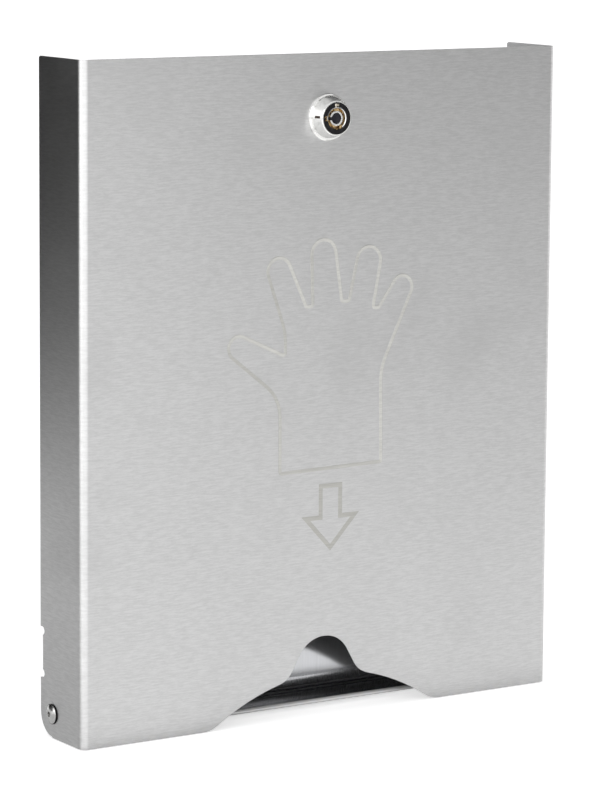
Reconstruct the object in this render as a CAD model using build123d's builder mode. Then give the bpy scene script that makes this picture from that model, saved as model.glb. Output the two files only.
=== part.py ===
from build123d import *
import math
import os

os.makedirs("parts", exist_ok=True)

# Wall-hung dispenser for disposable gloves, in brushed stainless sheet.
# A wall plate carries the gloves and a trough with a hemmed lip. A cover of one
# folded sheet hinges on two blind rivets near its foot and is held by a tubular
# cam lock near its top.
#
# Millimetres. +X is to the right seen from the front, +Y goes into the wall and
# +Z is up. The wall plane is Y = 0 and the origin is the centre of the four
# wall-fixing holes in that plane, halfway up the cover.

# ---- driving dimensions -------------------------------------------------------
sheet = 1.0                 # thickness of both folded sheets
cover_width = 268.0
cover_height = 320.0
cover_depth = 40.0          # wall plane to the cover's front face
wall_gap = 0.5              # the side walls end this far short of the wall
cover_bend = 3.5            # outside radius of the cover's two long bends
side_gap = 1.0              # cover wall to hinge ear, taken up by a washer
pin_from_wall = 11.5
pin_above_foot = 11.5
rear_foot_radius = 11.0     # rear foot corner, struck from the hinge pin
rear_top_radius = 1.5

cover_top = cover_height / 2
cover_foot = -cover_height / 2
front_face = -cover_depth
front_inner = front_face + sheet
wall_outer = cover_width / 2
wall_inner = wall_outer - sheet
pin_y = -pin_from_wall
pin_z = cover_foot + pin_above_foot

# Stop tabs: strips of the side walls folded inward between two relief notches
tab_foot = cover_foot + 31.3
tab_height = 16.5
tab_reach = 9.0             # from the cover's outside face inward
tab_set_in = 1.0            # the tab lies this far in front of the rear edge
tab_bend = 1.5              # outside radius
notch_height = 4.0
notch_depth = 3.6

# Mouth of the cover, heights above its bottom edge
mouth_peak = (9.3, 39.0)
mouth_peak_radius = 15.6
mouth_neck = (20.6, 19.0)
mouth_neck_radius = 12.0
mouth_shoulder = (42.0, 12.1)
mouth_flare = (57.5, 4.0)
mouth_foot = (63.8, 0.0)
mouth_foot_radius = 14.0
mouth_land = 80.0           # half width of the cutter, past the flare

# Wall plate
plate_half_width = 131.0
fixing_spacing_x = 190.0
fixing_spacing_z = 200.0
fixing_hole_radius = 2.75
flange_below_top = 3.0      # top flange under the cover's top edge
flange_bend = 2.0           # outside radius
keeper_y = -24.5            # middle of the lip that the lock's cam catches
keeper_foot = cover_top - 13.0
trough_half_width = 126.5
trough_bend = 6.0           # middle radius between back panel and floor
trough_floor = cover_foot + 4.2
hem_nose_y = -26.0          # gloves are drawn out between this lip and the cover
hem_gap = 0.3               # hairline left inside the folded hem
hem_return = 10.0
slit_width = 1.0            # between trough and ear strip
ear_outer = wall_inner - side_gap
ear_bend = 2.0              # outside radius
ear_foot = pin_z - 6.0
ear_top = pin_z + 12.8
ear_front = pin_y - 24.0
ear_foot_radius = 8.0
ear_top_radius = 3.0

# Hinge rivets (blind rivets, 4.8 mm)
rivet_radius = 2.4
rivet_bore = 1.25
rivet_head_radius = 4.8
rivet_head_height = 1.7
rivet_brim_height = 0.4
rivet_dome_radius = 8.1     # ball that the head's dome is part of
rivet_head_gap = 0.15
rivet_bulb_radius = 3.7
rivet_bulb_length = 2.6
cover_pin_clearance = 0.06
washer_radius = 5.5
washer_thickness = 0.8
mandrel_head_radius = 2.1
mandrel_head_length = 1.8
mandrel_recess = 0.9

# Studs that a block of gloves hangs on
stud_half_spacing = 85.0
stud_z = cover_top - 40.0
stud_radius = 2.0
stud_tip_y = -22.0
stud_groove_radius = 1.5
stud_groove_width = 1.6
stud_head_length = 2.4
stud_tip_chamfer = 0.8

# Tubular cam lock, axis along Y
lock_z = cover_top - 30.6
lock_flange_radius = 11.2
lock_flange_thickness = 1.5
lock_flange_chamfer = 0.7
lock_cone_foot_radius = 10.0
lock_rim_radius = 8.3
lock_projection = 7.3       # front face to the lock's rim
lock_rim_chamfer = 0.35
barrel_radius = 9.5
barrel_flat = 8.0           # half distance across the barrel's two flats
hole_clearance = 0.2        # lock hole over barrel
barrel_end_y = -24.6
sleeve_radius = 7.6
sleeve_proud = 0.15
keyway_radius = 5.25
keyway_depth = 5.4
keyway_notch_width = 2.2
keyway_notch_reach = 6.9
post_radius = 3.55
post_bore = 2.7
post_recess = 0.3
post_notch_width = 1.5
post_seat = 3.0             # depth pressed into the rotor
rotor_head_radius = 7.0
rotor_head_thickness = 2.4
journal_radius = 5.2
journal_clearance = 0.06
axial_play = 0.1            # rotor head between the sleeve and its seat
tail_radius = 4.0
tail_flat = 2.9             # half distance across the tail's two flats
tail_end_y = -15.6
pin_count = 7
pin_circle = 4.4
pin_tip_radius = 0.62
pin_tip_height = 1.3
lock_washer_radius = 13.0
lock_washer_thickness = 1.0
lock_nut_across_flats = 24.0
lock_nut_thickness = 4.0
stop_washer_thickness = 1.0
stop_washer_radius = 7.8
stop_track_inner = 8.1
stop_track_outer = 9.3
stop_tab_angle = 176.0
stop_tab_root = 0.4         # how deep the tab's ring runs into the washer's disc
stop_lug_angle = 90.0
cam_thickness = 2.0
cam_width = 16.0
cam_reach = 24.0
spring_washer_radius = 6.8
spring_washer_thickness = 1.0
spring_washer_split = 0.8
cam_nut_across_flats = 13.0
cam_nut_thickness = 3.6

trim_size = 60.0            # side of the squares that cut flats
pick = 0.01                 # how near its stated place a picked edge or corner lies

both_sides = {"left": -1, "right": 1}


def save(piece, name):
    """Label one finished piece and write it under its node name."""
    piece.part.label = name
    export_step(piece.part, f"parts/{name}.step")


def lock_plane(y):
    """Plane across the lock's axis at depth y, facing the front."""
    return Plane(origin=(0, y, lock_z), x_dir=(1, 0, 0), z_dir=(0, -1, 0))


# Section planes: across the object for the sheets, along an axis for turned parts
section_x = Plane.YZ
lock_section = Plane(origin=(0, 0, lock_z), x_dir=(0, 1, 0), z_dir=(1, 0, 0))
lock_axis = Axis((0, 0, lock_z), (0, 1, 0))
hinge_section = Plane(origin=(0, pin_y, pin_z), x_dir=(1, 0, 0), z_dir=(0, -1, 0))
hinge_axis = Axis((0, pin_y, pin_z), (1, 0, 0))

mouth_plane = Plane(origin=(0, front_face, cover_foot), x_dir=(1, 0, 0), z_dir=(0, -1, 0))

# ---- cover --------------------------------------------------------------------
wall_middle = wall_outer - sheet / 2
front_middle = front_face + sheet / 2
rear_edge = -wall_gap
tab_middle = rear_edge - tab_set_in - sheet / 2
notch_end = rear_edge - notch_depth
tab_top = tab_foot + tab_height
mouth_rounds = [
    (mouth_peak, mouth_peak_radius),
    (mouth_neck, mouth_neck_radius),
    (mouth_foot, mouth_foot_radius),
]

with BuildPart() as front_cover:
    # front panel and side walls, bent from one sheet
    with BuildSketch(Plane.XY.offset(cover_foot)):
        with BuildLine():
            FilletPolyline(
                (-wall_middle, rear_edge),
                (-wall_middle, front_middle),
                (wall_middle, front_middle),
                (wall_middle, rear_edge),
                radius=cover_bend - sheet / 2,
            )
        trace(line_width=sheet)
    extrude(amount=cover_height)

    # rear corners of the side walls: a foot that rolls past the wall, a broken top
    with BuildSketch(section_x):
        with Locations((pin_y, pin_z)):
            Rectangle(
                rear_foot_radius * 2,
                pin_above_foot * 2,
                align=(Align.MIN, Align.MAX),
            )
            Circle(rear_foot_radius, mode=Mode.SUBTRACT)
            Rectangle(
                rear_foot_radius * 2,
                pin_above_foot * 2,
                align=(Align.MAX, Align.CENTER),
                mode=Mode.SUBTRACT,
            )
    extrude(amount=wall_outer, both=True, mode=Mode.SUBTRACT)
    rear_top_edges = (
        front_cover.edges()
        .filter_by(Axis.X)
        .filter_by_position(Axis.Z, cover_top - pick, cover_top + pick)
        .filter_by_position(Axis.Y, rear_edge - pick, rear_edge + pick)
    )
    fillet(rear_top_edges, radius=rear_top_radius)

    # relief notches above and below each stop tab
    with BuildSketch(section_x):
        with Locations((rear_edge, (tab_foot + tab_top) / 2)):
            Rectangle(
                notch_depth * 2,
                tab_height,
            )
        for notch_middle in (tab_foot - notch_height / 2, tab_top + notch_height / 2):
            with Locations((rear_edge, notch_middle)):
                SlotOverall(notch_depth * 2, notch_height)
                Rectangle(notch_depth, notch_height, align=(Align.MIN, Align.CENTER))
    extrude(amount=wall_outer, both=True, mode=Mode.SUBTRACT)

    # the stop tabs themselves
    for side in both_sides.values():
        with BuildSketch(Plane.XY.offset(tab_foot)):
            with BuildLine():
                FilletPolyline(
                    (side * wall_middle, notch_end - sheet),
                    (side * wall_middle, tab_middle),
                    (side * (wall_outer - tab_reach), tab_middle),
                    radius=tab_bend - sheet / 2,
                )
            trace(line_width=sheet)
        extrude(amount=tab_height)

    # mouth: a hand-wide bell with a finger hump in the middle
    with BuildSketch(mouth_plane) as mouth:
        with BuildLine():
            hump = Polyline((0, mouth_peak[1]), mouth_peak, mouth_neck)
            shoulder = ThreePointArc(hump @ 1, mouth_shoulder, mouth_flare)
            Polyline(
                shoulder @ 1,
                mouth_foot,
                (mouth_land, 0),
                (mouth_land, -sheet),
                (0, -sheet),
            )
            mirror(about=Plane.YZ)
        make_face()
        for corner, radius in mouth_rounds:
            matching = [v for v in mouth.vertices() if math.dist((abs(v.X), v.Y), corner) < pick]
            fillet(matching, radius=radius)
    extrude(amount=-2 * sheet, mode=Mode.SUBTRACT)

    # double-D hole that keeps the lock from turning
    with BuildSketch(lock_plane(front_face)):
        Circle(barrel_radius + hole_clearance)
        Rectangle(2 * (barrel_flat + hole_clearance), trim_size, mode=Mode.INTERSECT)
    extrude(amount=-2 * sheet, mode=Mode.SUBTRACT)

    # hinge holes, a running fit on the rivets
    with BuildSketch(section_x):
        with Locations((pin_y, pin_z)):
            Circle(rivet_radius + cover_pin_clearance)
    extrude(amount=wall_outer, both=True, mode=Mode.SUBTRACT)
save(front_cover, "front_cover")

# ---- wall plate ---------------------------------------------------------------
panel_middle = -sheet / 2
flange_middle = cover_top - flange_below_top - sheet / 2
floor_middle = trough_floor - sheet / 2
hem_radius = (sheet + hem_gap) / 2
hem_start_y = hem_nose_y + sheet / 2 + hem_radius
ear_middle = ear_outer - sheet / 2
strip_start = trough_half_width + slit_width

with BuildPart() as wall_plate:
    # keeper lip, top flange and back panel
    with BuildSketch(section_x):
        with BuildLine():
            FilletPolyline(
                (keeper_y, keeper_foot),
                (keeper_y, flange_middle),
                (panel_middle, flange_middle),
                (panel_middle, ear_top),
                radius=flange_bend - sheet / 2,
            )
        trace(line_width=sheet)
    extrude(amount=plate_half_width, both=True)

    # trough: a bend off the back panel, a level floor and a hemmed lip
    with BuildSketch(section_x):
        with BuildLine():
            floor = FilletPolyline(
                (panel_middle, ear_top),
                (panel_middle, floor_middle),
                (hem_start_y, floor_middle),
                radius=trough_bend,
            )
            nose = ThreePointArc(
                floor @ 1,
                (hem_start_y - hem_radius, floor_middle - hem_radius),
                (hem_start_y, floor_middle - 2 * hem_radius),
            )
            Line(nose @ 1, (hem_start_y + hem_return, floor_middle - 2 * hem_radius))
        trace(line_width=sheet)
    extrude(amount=trough_half_width, both=True)

    # hinge ears, each bent forward off a strip beside the trough
    for side in both_sides.values():
        with BuildSketch(Plane.XY.offset(ear_foot)):
            with BuildLine():
                FilletPolyline(
                    (side * strip_start, panel_middle),
                    (side * ear_middle, panel_middle),
                    (side * ear_middle, ear_front),
                    radius=ear_bend - sheet / 2,
                )
            trace(line_width=sheet)
        extrude(amount=ear_top - ear_foot)
    ear_front_edges = (
        wall_plate.edges()
        .filter_by(Axis.X)
        .filter_by_position(Axis.Y, ear_front - pick, ear_front + pick)
    )
    fillet(ear_front_edges.group_by(Axis.Z)[0], radius=ear_foot_radius)
    ear_top_edges = (
        wall_plate.edges()
        .filter_by(Axis.X)
        .filter_by_position(Axis.Y, ear_front - pick, ear_front + pick)
        .filter_by_position(Axis.Z, ear_top - pick, ear_top + pick)
    )
    fillet(ear_top_edges, radius=ear_top_radius)
    with BuildSketch(section_x):
        with Locations((pin_y, pin_z)):
            Circle(rivet_radius)
    extrude(amount=wall_outer, both=True, mode=Mode.SUBTRACT)

    # wall-fixing holes
    with BuildSketch(Plane.XZ):
        with GridLocations(fixing_spacing_x, fixing_spacing_z, 2, 2):
            Circle(fixing_hole_radius)
    extrude(amount=sheet, mode=Mode.SUBTRACT)
save(wall_plate, "wall_plate")

# ---- studs for the block of gloves --------------------------------------------
stud_head_y = stud_tip_y + stud_head_length
stud_outline = [
    (-sheet, 0),
    (-sheet, stud_radius),
    (stud_head_y + stud_groove_width, stud_radius),
    (stud_head_y + stud_groove_width, stud_groove_radius),
    (stud_head_y, stud_groove_radius),
    (stud_head_y, stud_radius),
    (stud_tip_y + stud_tip_chamfer, stud_radius),
    (stud_tip_y, stud_radius - stud_tip_chamfer),
    (stud_tip_y, 0),
]
for side_name, side in both_sides.items():
    stud_x = side * stud_half_spacing
    with BuildPart() as hanging_stud:
        with BuildSketch(Plane(origin=(stud_x, 0, stud_z), x_dir=(0, 1, 0), z_dir=(1, 0, 0))):
            with BuildLine():
                Polyline(*stud_outline, close=True)
            make_face()
        revolve(axis=Axis((stud_x, 0, stud_z), (0, 1, 0)))
    save(hanging_stud, f"hanging_stud_{side_name}")

# ---- hinge: a blind rivet, its mandrel and a spacing washer on each side --------
ear_inner = ear_outer - sheet
head_foot = wall_outer + rivet_head_gap
head_brim = head_foot + rivet_brim_height
head_top = head_foot + rivet_head_height
dome_centre = head_brim - math.sqrt(rivet_dome_radius**2 - rivet_head_radius**2)
dome_flat_radius = math.sqrt(rivet_dome_radius**2 - (head_top - dome_centre) ** 2)
dome_middle_radius = (rivet_head_radius + dome_flat_radius) / 2
dome_middle = dome_centre + math.sqrt(rivet_dome_radius**2 - dome_middle_radius**2)
bulb_end = ear_inner - rivet_bulb_length
mandrel_end = bulb_end - mandrel_head_length
mandrel_face = head_top - mandrel_recess

for side_name, side in both_sides.items():
    with BuildPart() as hinge_rivet:
        with BuildSketch(hinge_section):
            with BuildLine():
                dome = ThreePointArc(
                    (side * head_brim, rivet_head_radius),
                    (side * dome_middle, dome_middle_radius),
                    (side * head_top, dome_flat_radius),
                )
                Polyline(
                    dome @ 1,
                    (side * head_top, rivet_bore),
                    (side * bulb_end, rivet_bore),
                    (side * bulb_end, rivet_bulb_radius),
                    (side * ear_inner, rivet_bulb_radius),
                    (side * ear_inner, rivet_radius),
                    (side * head_foot, rivet_radius),
                    (side * head_foot, rivet_head_radius),
                    dome @ 0,
                )
            make_face()
        revolve(axis=hinge_axis)
    save(hinge_rivet, f"hinge_rivet_{side_name}")

    with BuildPart() as hinge_mandrel:
        with BuildSketch(hinge_section):
            with BuildLine():
                Polyline(
                    (side * mandrel_face, 0),
                    (side * mandrel_face, rivet_bore),
                    (side * bulb_end, rivet_bore),
                    (side * bulb_end, mandrel_head_radius),
                    (side * mandrel_end, mandrel_head_radius),
                    (side * mandrel_end, 0),
                    close=True,
                )
            make_face()
        revolve(axis=hinge_axis)
    save(hinge_mandrel, f"hinge_mandrel_{side_name}")

    with BuildPart() as hinge_washer:
        with BuildSketch(section_x.offset(side * ear_outer)):
            with Locations((pin_y, pin_z)):
                Circle(washer_radius)
                Circle(rivet_radius, mode=Mode.SUBTRACT)
        extrude(amount=side * washer_thickness)
    save(hinge_washer, f"hinge_washer_{side_name}")

# ---- cam lock -------------------------------------------------------------------
flange_y = front_face - lock_flange_thickness
rim_y = front_face - lock_projection
sleeve_face_y = rim_y - sleeve_proud
keyway_foot_y = rim_y + keyway_depth
rotor_seat_y = keyway_foot_y + rotor_head_thickness
stop_washer_y = barrel_end_y
cam_y = stop_washer_y + stop_washer_thickness
spring_washer_y = cam_y + cam_thickness
cam_nut_y = spring_washer_y + spring_washer_thickness
locked_angle = 90           # cam straight up behind the keeper lip
rest_angle = 180            # cam level, clear of the keeper lip
lug_middle_angle = 270       # straight down, where the barrel is round
tab_middle_angle = (locked_angle + rest_angle) / 2

with BuildPart() as lock_housing:
    with BuildSketch(lock_section):
        with BuildLine():
            Polyline(
                (barrel_end_y, journal_radius + journal_clearance),
                (barrel_end_y, barrel_radius),
                (front_face, barrel_radius),
                (front_face, lock_flange_radius),
                (flange_y + lock_flange_chamfer, lock_flange_radius),
                (flange_y, lock_flange_radius - lock_flange_chamfer),
                (flange_y, lock_cone_foot_radius),
                (rim_y + lock_rim_chamfer, lock_rim_radius),
                (rim_y, lock_rim_radius - lock_rim_chamfer),
                (rim_y, sleeve_radius),
                (rotor_seat_y + axial_play, sleeve_radius),
                (rotor_seat_y + axial_play, journal_radius + journal_clearance),
                close=True,
            )
        make_face()
    revolve(axis=lock_axis)
    with BuildSketch(lock_plane(front_face)):
        Rectangle(trim_size, trim_size)
        Rectangle(2 * barrel_flat, trim_size, mode=Mode.SUBTRACT)
    extrude(amount=front_face - barrel_end_y, mode=Mode.SUBTRACT)
    with BuildSketch(lock_plane(barrel_end_y)):
        with BuildLine():
            CenterArc(
                (0, 0),
                (stop_track_inner + stop_track_outer) / 2,
                lug_middle_angle - stop_lug_angle / 2,
                stop_lug_angle,
            )
        trace(line_width=stop_track_outer - stop_track_inner)
    extrude(amount=-stop_washer_thickness)
save(lock_housing, "lock_housing")

with BuildPart() as lock_sleeve:
    with BuildSketch(lock_plane(sleeve_face_y)):
        Circle(sleeve_radius)
        Circle(keyway_radius, mode=Mode.SUBTRACT)
    extrude(amount=sleeve_face_y - keyway_foot_y + axial_play)
    with BuildSketch(lock_plane(sleeve_face_y)):
        Rectangle(
            keyway_notch_width,
            keyway_notch_reach,
            align=(Align.CENTER, Align.MIN),
        )
        Rectangle(
            keyway_notch_reach,
            keyway_notch_width,
            align=(Align.MAX, Align.CENTER),
        )
    extrude(amount=-keyway_depth / 2, mode=Mode.SUBTRACT)
save(lock_sleeve, "lock_sleeve")

with BuildPart() as lock_rotor:
    with BuildSketch(lock_section):
        with BuildLine():
            Polyline(
                (keyway_foot_y, 0),
                (keyway_foot_y, rotor_head_radius),
                (rotor_seat_y, rotor_head_radius),
                (rotor_seat_y, journal_radius),
                (barrel_end_y, journal_radius),
                (barrel_end_y, tail_radius),
                (tail_end_y, tail_radius),
                (tail_end_y, 0),
                close=True,
            )
        make_face()
    revolve(axis=lock_axis)
    with BuildSketch(lock_plane(keyway_foot_y)):
        Circle(post_radius)
    extrude(amount=-post_seat, mode=Mode.SUBTRACT)
    with BuildSketch(lock_plane(barrel_end_y)):
        Rectangle(trim_size, trim_size)
        Rectangle(trim_size, 2 * tail_flat, mode=Mode.SUBTRACT)
    extrude(amount=barrel_end_y - tail_end_y, mode=Mode.SUBTRACT)
save(lock_rotor, "lock_rotor")

with BuildPart() as lock_post:
    with BuildSketch(lock_plane(rim_y + post_recess)):
        Circle(post_radius)
        Circle(post_bore, mode=Mode.SUBTRACT)
    extrude(amount=-(keyway_depth - post_recess + post_seat))
    with BuildSketch(lock_plane(rim_y + post_recess)):
        Rectangle(
            post_radius + post_bore,
            post_notch_width,
            align=(Align.MAX, Align.CENTER),
        )
    extrude(amount=-keyway_depth / 2, mode=Mode.SUBTRACT)
save(lock_post, "lock_post")

with BuildPart() as lock_pins:
    with BuildSketch(lock_plane(keyway_foot_y)):
        with PolarLocations(pin_circle, pin_count, start_angle=locked_angle + 180 / pin_count):
            Circle(pin_tip_radius)
    extrude(amount=pin_tip_height)
save(lock_pins, "lock_pins")

with BuildPart() as lock_washer:
    with BuildSketch(lock_plane(front_inner)):
        Circle(lock_washer_radius)
        Circle(barrel_radius + hole_clearance, mode=Mode.SUBTRACT)
    extrude(amount=-lock_washer_thickness)
save(lock_washer, "lock_washer")

with BuildPart() as lock_nut:
    with BuildSketch(lock_plane(front_inner + lock_washer_thickness)):
        RegularPolygon(lock_nut_across_flats / 2, side_count=6, major_radius=False)
        Circle(barrel_radius, mode=Mode.SUBTRACT)
    extrude(amount=-lock_nut_thickness)
save(lock_nut, "lock_nut")


def tail_hole():
    """Double-D hole that the rotor's tail drives, cut in the open sketch."""
    with BuildSketch(mode=Mode.PRIVATE) as hole:
        Circle(tail_radius)
        Rectangle(trim_size, 2 * tail_flat, mode=Mode.INTERSECT)
    add(hole.sketch, mode=Mode.SUBTRACT)


tab_inner = stop_washer_radius - stop_tab_root
with BuildPart() as cam_stop_washer:
    with BuildSketch(lock_plane(stop_washer_y)):
        Circle(stop_washer_radius)
        with BuildLine():
            CenterArc(
                (0, 0),
                (tab_inner + stop_track_outer) / 2,
                tab_middle_angle - stop_tab_angle / 2,
                stop_tab_angle,
            )
        trace(line_width=stop_track_outer - tab_inner)
        tail_hole()
    extrude(amount=-stop_washer_thickness)
save(cam_stop_washer, "cam_stop_washer")

with BuildPart() as lock_cam:
    with BuildSketch(lock_plane(cam_y)):
        Circle(cam_width / 2)
        Rectangle(cam_reach, cam_width, align=(Align.MAX, Align.CENTER))
        tail_hole()
    extrude(amount=-cam_thickness)
save(lock_cam, "lock_cam")

with BuildPart() as cam_spring_washer:
    with BuildSketch(lock_plane(spring_washer_y)):
        Circle(spring_washer_radius)
        Circle(tail_radius, mode=Mode.SUBTRACT)
        Rectangle(
            spring_washer_split,
            2 * spring_washer_radius,
            align=(Align.CENTER, Align.MIN),
            mode=Mode.SUBTRACT,
        )
    extrude(amount=-spring_washer_thickness)
save(cam_spring_washer, "cam_spring_washer")

with BuildPart() as cam_nut:
    with BuildSketch(lock_plane(cam_nut_y)):
        RegularPolygon(cam_nut_across_flats / 2, side_count=6, major_radius=False)
        Circle(tail_radius, mode=Mode.SUBTRACT)
    extrude(amount=-cam_nut_thickness)
save(cam_nut, "cam_nut")
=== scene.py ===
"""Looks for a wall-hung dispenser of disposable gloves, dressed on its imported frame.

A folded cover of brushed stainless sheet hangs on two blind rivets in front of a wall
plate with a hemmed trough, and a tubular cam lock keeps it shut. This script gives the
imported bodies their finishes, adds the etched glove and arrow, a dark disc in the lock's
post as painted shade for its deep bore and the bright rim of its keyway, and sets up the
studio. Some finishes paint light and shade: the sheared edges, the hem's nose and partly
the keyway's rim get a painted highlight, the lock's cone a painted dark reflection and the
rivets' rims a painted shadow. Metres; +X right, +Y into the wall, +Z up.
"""
from __future__ import annotations

import logging
import math
from dataclasses import dataclass, field
from enum import Enum
from typing import Callable, Iterable, Sequence

import bpy
from mathutils import Matrix, Vector


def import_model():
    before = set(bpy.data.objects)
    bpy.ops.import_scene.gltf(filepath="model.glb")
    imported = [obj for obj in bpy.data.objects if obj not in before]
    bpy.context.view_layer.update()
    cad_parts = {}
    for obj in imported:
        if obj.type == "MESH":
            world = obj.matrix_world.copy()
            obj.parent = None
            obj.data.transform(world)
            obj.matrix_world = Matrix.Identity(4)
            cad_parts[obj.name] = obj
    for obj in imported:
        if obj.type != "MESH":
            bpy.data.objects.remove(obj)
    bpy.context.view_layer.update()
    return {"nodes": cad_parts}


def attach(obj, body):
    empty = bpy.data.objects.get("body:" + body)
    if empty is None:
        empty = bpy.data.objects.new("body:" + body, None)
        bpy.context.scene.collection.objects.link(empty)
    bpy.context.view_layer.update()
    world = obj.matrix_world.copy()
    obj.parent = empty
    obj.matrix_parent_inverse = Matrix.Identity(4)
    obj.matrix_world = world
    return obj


LOG = logging.getLogger("glove_dispenser")
MM = 0.001
BRIGHTEST = 0.95  # no finish reflects more than this
FACING = 0.5  # a face whose normal has more than this along an axis looks that way

Triple = tuple[float, float, float]
Colour = Triple
Place = Triple
Point = tuple[float, float]
Socket = bpy.types.NodeSocket


# ---- node graphs -------------------------------------------------------------------


class Graph:
    """A small wrapper round a node tree: adds nodes, sets sockets and links them."""

    def __init__(self, tree: bpy.types.NodeTree) -> None:
        """Keep the tree that nodes are added to.

        Args:
            tree: The material, world or group tree.
        """
        self.tree = tree

    def add(self, kind: str, **inputs: object) -> bpy.types.Node:
        """Add a node and set its sockets and properties.

        Args:
            kind: Blender's node type.
            **inputs: Properties, as their name behind p_, and sockets, as their name
                with _ for each space or as i and their number. A socket given another
                socket is linked to it.

        Returns:
            The new node.
        """
        node = self.tree.nodes.new(kind)
        for name, value in inputs.items():
            if name.startswith("p_"):
                setattr(node, name[2:], value)
        for name, value in inputs.items():
            if name.startswith("p_"):
                continue
            key: int | str = int(name[1:]) if name[1:].isdigit() else name.replace("_", " ")
            self.feed(node.inputs[key], value)
        return node

    def feed(self, socket: Socket, value: object) -> None:
        """Link a socket, or set its own value.

        Args:
            socket: The input socket.
            value: Another socket, a number or a tuple.
        """
        if isinstance(value, Socket):
            self.tree.links.new(value, socket)
        elif isinstance(value, tuple) and len(value) == 3 and socket.type == "RGBA":
            socket.default_value = (*value, 1.0)
        else:
            socket.default_value = value

    def math(self, how: str, a: object, b: object = 0.0) -> Socket:
        """Combine two numbers.

        Args:
            how: The operation.
            a: First number or socket.
            b: Second number or socket.

        Returns:
            The result's socket.
        """
        return self.add("ShaderNodeMath", p_operation=how, i0=a, i1=b).outputs[0]

    def raised(self, value: object, mask: Socket, amount: object) -> Socket:
        """Raise a number where a mask is.

        Args:
            value: The number or its socket.
            mask: The mask's socket.
            amount: What is added where the mask is 1, a number or a socket.

        Returns:
            The raised number's socket.
        """
        return self.math("ADD", value, self.math("MULTIPLY", mask, amount))

    def overlap(self, *masks: Socket) -> Socket:
        """Multiply masks, so that only the places in all of them stay.

        Args:
            *masks: The masks' sockets.

        Returns:
            The common mask's socket.
        """
        found = masks[0]
        for mask in masks[1:]:
            found = self.math("MULTIPLY", found, mask)
        return found

    def ramp(self, value: object, low: float, high: float, to_low: float, to_high: float) -> Socket:
        """Map a range of numbers smoothly onto another, clamped at its ends.

        Args:
            value: The number's socket.
            low: Where the old range starts.
            high: Where the old range ends.
            to_low: Result at low.
            to_high: Result at high.

        Returns:
            The mapped number's socket.
        """
        node = self.add(
            "ShaderNodeMapRange",
            p_interpolation_type="SMOOTHSTEP",
            Value=value,
            From_Min=low,
            From_Max=high,
            To_Min=to_low,
            To_Max=to_high,
        )
        return node.outputs[0]

    def mix(self, share: object, a: object, b: object) -> Socket:
        """Blend two colours.

        Args:
            share: How much of the second colour shows.
            a: First colour or socket.
            b: Second colour or socket.

        Returns:
            The blended colour's socket.
        """
        node = self.add("ShaderNodeMix", p_data_type="RGBA", i0=share, i6=a, i7=b)
        return node.outputs[2]

    def noise(self, place: Socket, scale: object, detail: float, roughness: float = 0.5) -> Socket:
        """Scatter soft noise.

        Args:
            place: Where it is sampled.
            scale: How many clouds it has to a metre.
            detail: How many finer layers it has.
            roughness: How strong the finer layers are.

        Returns:
            The noise between 0 and 1.
        """
        node = self.add("ShaderNodeTexNoise", Vector=place, Scale=scale, Detail=detail, Roughness=roughness)
        return node.outputs["Fac"]

    def part(self, vector: Socket, axis: str) -> Socket:
        """Return one part, X, Y or Z, of a vector."""
        return self.add("ShaderNodeSeparateXYZ", Vector=vector).outputs[axis]

    def normal(self) -> Socket:
        """Return the surface's normal in object space."""
        return self.add("ShaderNodeTexCoord").outputs["Normal"]

    def reach(self, vector: Socket) -> Socket:
        """Return a place's distance from the Y axis."""
        flat = self.add("ShaderNodeCombineXYZ", X=self.part(vector, "X"), Z=self.part(vector, "Z"))
        return self.add("ShaderNodeVectorMath", p_operation="LENGTH", i0=flat.outputs[0]).outputs["Value"]


class Group:
    """A shader node group with named inputs and outputs, built once and placed often."""

    name: str = ""
    inputs: dict[str, tuple[str, object]] = {}
    outputs: dict[str, str] = {}

    def tree(self) -> bpy.types.NodeTree:
        """Build the group's tree the first time.

        Returns:
            The tree.
        """
        tree = bpy.data.node_groups.get(self.name)
        if tree is None:
            tree = bpy.data.node_groups.new(self.name, "ShaderNodeTree")
            for name, (kind, default) in self.inputs.items():
                socket = tree.interface.new_socket(name, in_out="INPUT", socket_type=kind)
                if default is not None:
                    socket.default_value = default
            for name, kind in self.outputs.items():
                tree.interface.new_socket(name, in_out="OUTPUT", socket_type=kind)
            graph = Graph(tree)
            entry = graph.add("NodeGroupInput")
            results = self.draw(graph, {name: entry.outputs[name] for name in self.inputs})
            leave = graph.add("NodeGroupOutput")
            for name, value in results.items():
                graph.feed(leave.inputs[name], value)
        return tree

    def draw(self, graph: Graph, given: dict[str, Socket]) -> dict[str, Socket]:
        """Build the inside of the group.

        Args:
            graph: The group's tree.
            given: The group's input sockets by name.

        Returns:
            What each output is fed with.
        """
        raise NotImplementedError

    def place(self, graph: Graph, **values: object) -> dict[str, Socket]:
        """Place the group in a material.

        Args:
            graph: The material's tree.
            **values: Input values, with _ for each space.

        Returns:
            The group's output sockets by name.
        """
        node = graph.add("ShaderNodeGroup", p_node_tree=self.tree(), **values)
        return {name: node.outputs[name] for name in self.outputs}


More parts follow.
